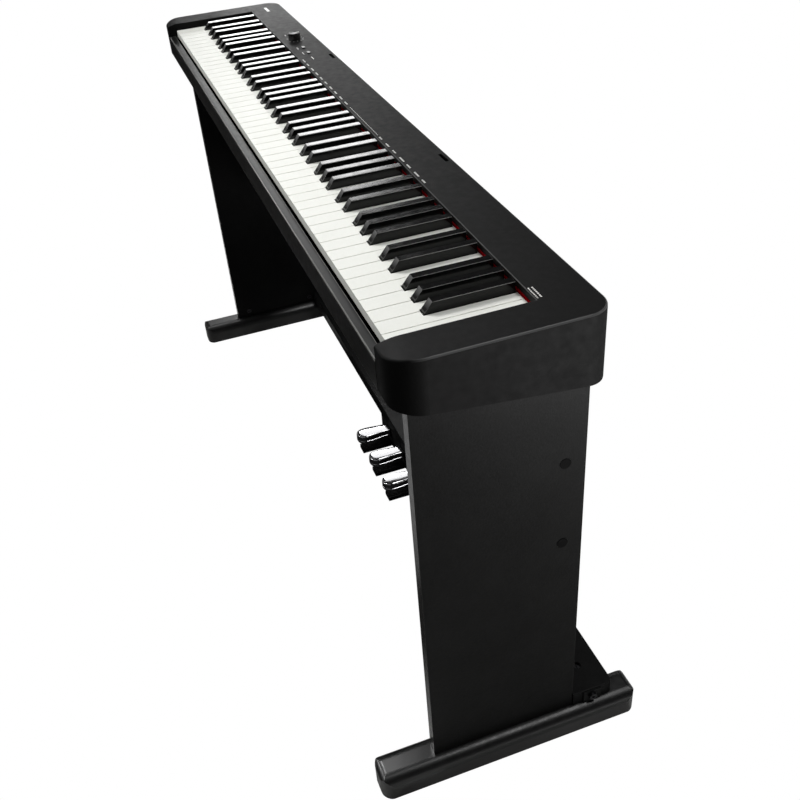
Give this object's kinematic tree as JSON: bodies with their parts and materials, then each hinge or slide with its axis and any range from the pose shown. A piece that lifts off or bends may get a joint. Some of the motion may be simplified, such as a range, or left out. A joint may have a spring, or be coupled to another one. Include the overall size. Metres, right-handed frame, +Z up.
{
  "type": "digital piano on stand",
  "caption": "Slim full-size digital piano with a wedge-shaped case on a black panel stand with round-edged feet, a low cross board and chrome pedals.",
  "frame": {"origin": "on the floor, midway between the feet and midway along them", "axes": "+X towards the treble end, -Y towards the player, +Z up"},
  "size_m": [1.322, 0.372, 0.7015],
  "materials": {
    "case_plastic": "fine-textured satin black moulding",
    "slip_plastic": "satin dark grey moulding",
    "chassis_plastic": "natural grey moulding",
    "white_key_plastic": "polished off-white moulding",
    "black_key_plastic": "satin black moulding",
    "felt": "red pressed felt",
    "circuit_board": "green solder mask",
    "contact_rubber": "moulded silicone",
    "pot_metal": "stamped can",
    "speaker_metal": "black stamped basket",
    "jack_plastic": "black moulding",
    "zinc_steel": "zinc-plated",
    "bracket_steel": "black powder coat",
    "board_laminate": "black laminate on particle board",
    "foot_lacquer": "satin black foil on wood",
    "cap_plastic": "black moulding",
    "box_plastic": "black moulding",
    "glide_rubber": "die-cut pad",
    "pedal_chrome": "polished plate"
  },
  "bodies": {
    "stand_and_case": {"top_case": "case_plastic", "bottom_case": "case_plastic", "key_slip": "slip_plastic", "key_chassis": "chassis_plastic", "key_sensor_board": "circuit_board", "key_contact_strip": "contact_rubber", "key_felts": "felt", "volume_pot": "pot_metal", "panel_board": "circuit_board", "main_board": "circuit_board", "speakers": "speaker_metal", "rear_jacks": "jack_plastic", "case_screws": "zinc_steel", "left_side_panel": "board_laminate", "right_side_panel": "board_laminate", "left_foot": "foot_lacquer", "right_foot": "foot_lacquer", "foot_glides": "glide_rubber", "back_board": "board_laminate", "stand_bolts": "zinc_steel", "barrel_nuts": "zinc_steel", "screw_caps": "cap_plastic", "body_brackets": "bracket_steel", "bracket_screws": "zinc_steel", "board_brackets": "bracket_steel", "pedal_board": "board_laminate", "pedal_box": "box_plastic", "pedal_base": "box_plastic", "pedal_rod": "zinc_steel", "soft_spring": "zinc_steel", "sostenuto_spring": "zinc_steel", "damper_spring": "zinc_steel"},
    "soft_pedal": {"soft_pedal": "pedal_chrome"},
    "sostenuto_pedal": {"sostenuto_pedal": "pedal_chrome"},
    "damper_pedal": {"damper_pedal": "pedal_chrome"},
    "volume_knob": {"volume_knob": "case_plastic"},
    "power_button": {"power_button": "case_plastic"},
    "function_button": {"function_button": "case_plastic"},
    "tempo_button": {"tempo_button": "case_plastic"},
    "white_keys_1_low": {"white_keys_1_low": "white_key_plastic"},
    "white_keys_1_high": {"white_keys_1_high": "white_key_plastic"},
    "white_keys_2_low": {"white_keys_2_low": "white_key_plastic"},
    "white_keys_2_high": {"white_keys_2_high": "white_key_plastic"},
    "white_keys_3_low": {"white_keys_3_low": "white_key_plastic"},
    "white_keys_3_high": {"white_keys_3_high": "white_key_plastic"},
    "white_keys_4_low": {"white_keys_4_low": "white_key_plastic"},
    "white_keys_4_high": {"white_keys_4_high": "white_key_plastic"},
    "white_keys_5_low": {"white_keys_5_low": "white_key_plastic"},
    "white_keys_5_high": {"white_keys_5_high": "white_key_plastic"},
    "white_keys_6_low": {"white_keys_6_low": "white_key_plastic"},
    "white_keys_6_high": {"white_keys_6_high": "white_key_plastic"},
    "white_keys_7_low": {"white_keys_7_low": "white_key_plastic"},
    "white_keys_7_high": {"white_keys_7_high": "white_key_plastic"},
    "black_keys_1": {"black_keys_1": "black_key_plastic"},
    "black_keys_2": {"black_keys_2": "black_key_plastic"},
    "black_keys_3": {"black_keys_3": "black_key_plastic"},
    "black_keys_4": {"black_keys_4": "black_key_plastic"},
    "black_keys_5": {"black_keys_5": "black_key_plastic"},
    "black_keys_6": {"black_keys_6": "black_key_plastic"},
    "black_keys_7": {"black_keys_7": "black_key_plastic"}
  },
  "joints": [
    {"name": "soft_pedal_press", "type": "hinge", "parent": "stand_and_case", "child": "soft_pedal", "pos_m": [-0.074, 0.138, 0.03], "axis": [1, 0, 0], "range_deg": [0, 6.2], "stiffness_Nm_per_rad": 8, "springref_deg": -5.73, "deforming": ["soft_spring"]},
    {"name": "sostenuto_pedal_press", "type": "hinge", "parent": "stand_and_case", "child": "sostenuto_pedal", "pos_m": [0, 0.138, 0.03], "axis": [1, 0, 0], "range_deg": [0, 6.2], "stiffness_Nm_per_rad": 8, "springref_deg": -5.73, "deforming": ["sostenuto_spring"]},
    {"name": "damper_pedal_press", "type": "hinge", "parent": "stand_and_case", "child": "damper_pedal", "pos_m": [0.074, 0.138, 0.03], "axis": [1, 0, 0], "range_deg": [0, 6.2], "stiffness_Nm_per_rad": 8, "springref_deg": -5.73, "deforming": ["damper_spring"]},
    {"name": "volume_turn", "type": "hinge", "parent": "stand_and_case", "child": "volume_knob", "pos_m": [-0.378, 0.055, 0.69], "axis": [0, 0, 1], "range_deg": [-140, 140]},
    {"name": "power_press", "type": "slide", "parent": "stand_and_case", "child": "power_button", "axis": [0, 0, -1], "range_m": [0, 0.001], "stiffness_N_per_m": 800, "springref_m": -0.001},
    {"name": "function_press", "type": "slide", "parent": "stand_and_case", "child": "function_button", "axis": [0, 0, -1], "range_m": [0, 0.001], "stiffness_N_per_m": 800, "springref_m": -0.001},
    {"name": "tempo_press", "type": "slide", "parent": "stand_and_case", "child": "tempo_button", "axis": [0, 0, -1], "range_m": [0, 0.001], "stiffness_N_per_m": 800, "springref_m": -0.001},
    {"name": "white_keys_1_low_press", "type": "hinge", "parent": "stand_and_case", "child": "white_keys_1_low", "pos_m": [0, 0.07, 0.6567], "axis": [1, 0, 0], "range_deg": [0, 3.04], "stiffness_Nm_per_rad": 3, "springref_deg": -8.02},
    {"name": "white_keys_1_high_press", "type": "hinge", "parent": "stand_and_case", "child": "white_keys_1_high", "pos_m": [0, 0.07, 0.6567], "axis": [1, 0, 0], "range_deg": [0, 3.04], "stiffness_Nm_per_rad": 3, "springref_deg": -8.02},
    {"name": "white_keys_2_low_press", "type": "hinge", "parent": "stand_and_case", "child": "white_keys_2_low", "pos_m": [0, 0.07, 0.6567], "axis": [1, 0, 0], "range_deg": [0, 3.04], "stiffness_Nm_per_rad": 3, "springref_deg": -8.02},
    {"name": "white_keys_2_high_press", "type": "hinge", "parent": "stand_and_case", "child": "white_keys_2_high", "pos_m": [0, 0.07, 0.6567], "axis": [1, 0, 0], "range_deg": [0, 3.04], "stiffness_Nm_per_rad": 3, "springref_deg": -8.02},
    {"name": "white_keys_3_low_press", "type": "hinge", "parent": "stand_and_case", "child": "white_keys_3_low", "pos_m": [0, 0.07, 0.6567], "axis": [1, 0, 0], "range_deg": [0, 3.04], "stiffness_Nm_per_rad": 3, "springref_deg": -8.02},
    {"name": "white_keys_3_high_press", "type": "hinge", "parent": "stand_and_case", "child": "white_keys_3_high", "pos_m": [0, 0.07, 0.6567], "axis": [1, 0, 0], "range_deg": [0, 3.04], "stiffness_Nm_per_rad": 3, "springref_deg": -8.02},
    {"name": "white_keys_4_low_press", "type": "hinge", "parent": "stand_and_case", "child": "white_keys_4_low", "pos_m": [0, 0.07, 0.6567], "axis": [1, 0, 0], "range_deg": [0, 3.04], "stiffness_Nm_per_rad": 3, "springref_deg": -8.02},
    {"name": "white_keys_4_high_press", "type": "hinge", "parent": "stand_and_case", "child": "white_keys_4_high", "pos_m": [0, 0.07, 0.6567], "axis": [1, 0, 0], "range_deg": [0, 3.04], "stiffness_Nm_per_rad": 3, "springref_deg": -8.02},
    {"name": "white_keys_5_low_press", "type": "hinge", "parent": "stand_and_case", "child": "white_keys_5_low", "pos_m": [0, 0.07, 0.6567], "axis": [1, 0, 0], "range_deg": [0, 3.04], "stiffness_Nm_per_rad": 3, "springref_deg": -8.02},
    {"name": "white_keys_5_high_press", "type": "hinge", "parent": "stand_and_case", "child": "white_keys_5_high", "pos_m": [0, 0.07, 0.6567], "axis": [1, 0, 0], "range_deg": [0, 3.04], "stiffness_Nm_per_rad": 3, "springref_deg": -8.02},
    {"name": "white_keys_6_low_press", "type": "hinge", "parent": "stand_and_case", "child": "white_keys_6_low", "pos_m": [0, 0.07, 0.6567], "axis": [1, 0, 0], "range_deg": [0, 3.04], "stiffness_Nm_per_rad": 3, "springref_deg": -8.02},
    {"name": "white_keys_6_high_press", "type": "hinge", "parent": "stand_and_case", "child": "white_keys_6_high", "pos_m": [0, 0.07, 0.6567], "axis": [1, 0, 0], "range_deg": [0, 3.04], "stiffness_Nm_per_rad": 3, "springref_deg": -8.02},
    {"name": "white_keys_7_low_press", "type": "hinge", "parent": "stand_and_case", "child": "white_keys_7_low", "pos_m": [0, 0.07, 0.6567], "axis": [1, 0, 0], "range_deg": [0, 3.04], "stiffness_Nm_per_rad": 3, "springref_deg": -8.02},
    {"name": "white_keys_7_high_press", "type": "hinge", "parent": "stand_and_case", "child": "white_keys_7_high", "pos_m": [0, 0.07, 0.6567], "axis": [1, 0, 0], "range_deg": [0, 3.04], "stiffness_Nm_per_rad": 3, "springref_deg": -8.02},
    {"name": "black_keys_1_press", "type": "hinge", "parent": "stand_and_case", "child": "black_keys_1", "pos_m": [0, 0.07, 0.6567], "axis": [1, 0, 0], "range_deg": [0, 3.04], "stiffness_Nm_per_rad": 3, "springref_deg": -8.02},
    {"name": "black_keys_2_press", "type": "hinge", "parent": "stand_and_case", "child": "black_keys_2", "pos_m": [0, 0.07, 0.6567], "axis": [1, 0, 0], "range_deg": [0, 3.04], "stiffness_Nm_per_rad": 3, "springref_deg": -8.02},
    {"name": "black_keys_3_press", "type": "hinge", "parent": "stand_and_case", "child": "black_keys_3", "pos_m": [0, 0.07, 0.6567], "axis": [1, 0, 0], "range_deg": [0, 3.04], "stiffness_Nm_per_rad": 3, "springref_deg": -8.02},
    {"name": "black_keys_4_press", "type": "hinge", "parent": "stand_and_case", "child": "black_keys_4", "pos_m": [0, 0.07, 0.6567], "axis": [1, 0, 0], "range_deg": [0, 3.04], "stiffness_Nm_per_rad": 3, "springref_deg": -8.02},
    {"name": "black_keys_5_press", "type": "hinge", "parent": "stand_and_case", "child": "black_keys_5", "pos_m": [0, 0.07, 0.6567], "axis": [1, 0, 0], "range_deg": [0, 3.04], "stiffness_Nm_per_rad": 3, "springref_deg": -8.02},
    {"name": "black_keys_6_press", "type": "hinge", "parent": "stand_and_case", "child": "black_keys_6", "pos_m": [0, 0.07, 0.6567], "axis": [1, 0, 0], "range_deg": [0, 3.04], "stiffness_Nm_per_rad": 3, "springref_deg": -8.02},
    {"name": "black_keys_7_press", "type": "hinge", "parent": "stand_and_case", "child": "black_keys_7", "pos_m": [0, 0.07, 0.6567], "axis": [1, 0, 0], "range_deg": [0, 3.04], "stiffness_Nm_per_rad": 3, "springref_deg": -8.02}
  ]
}
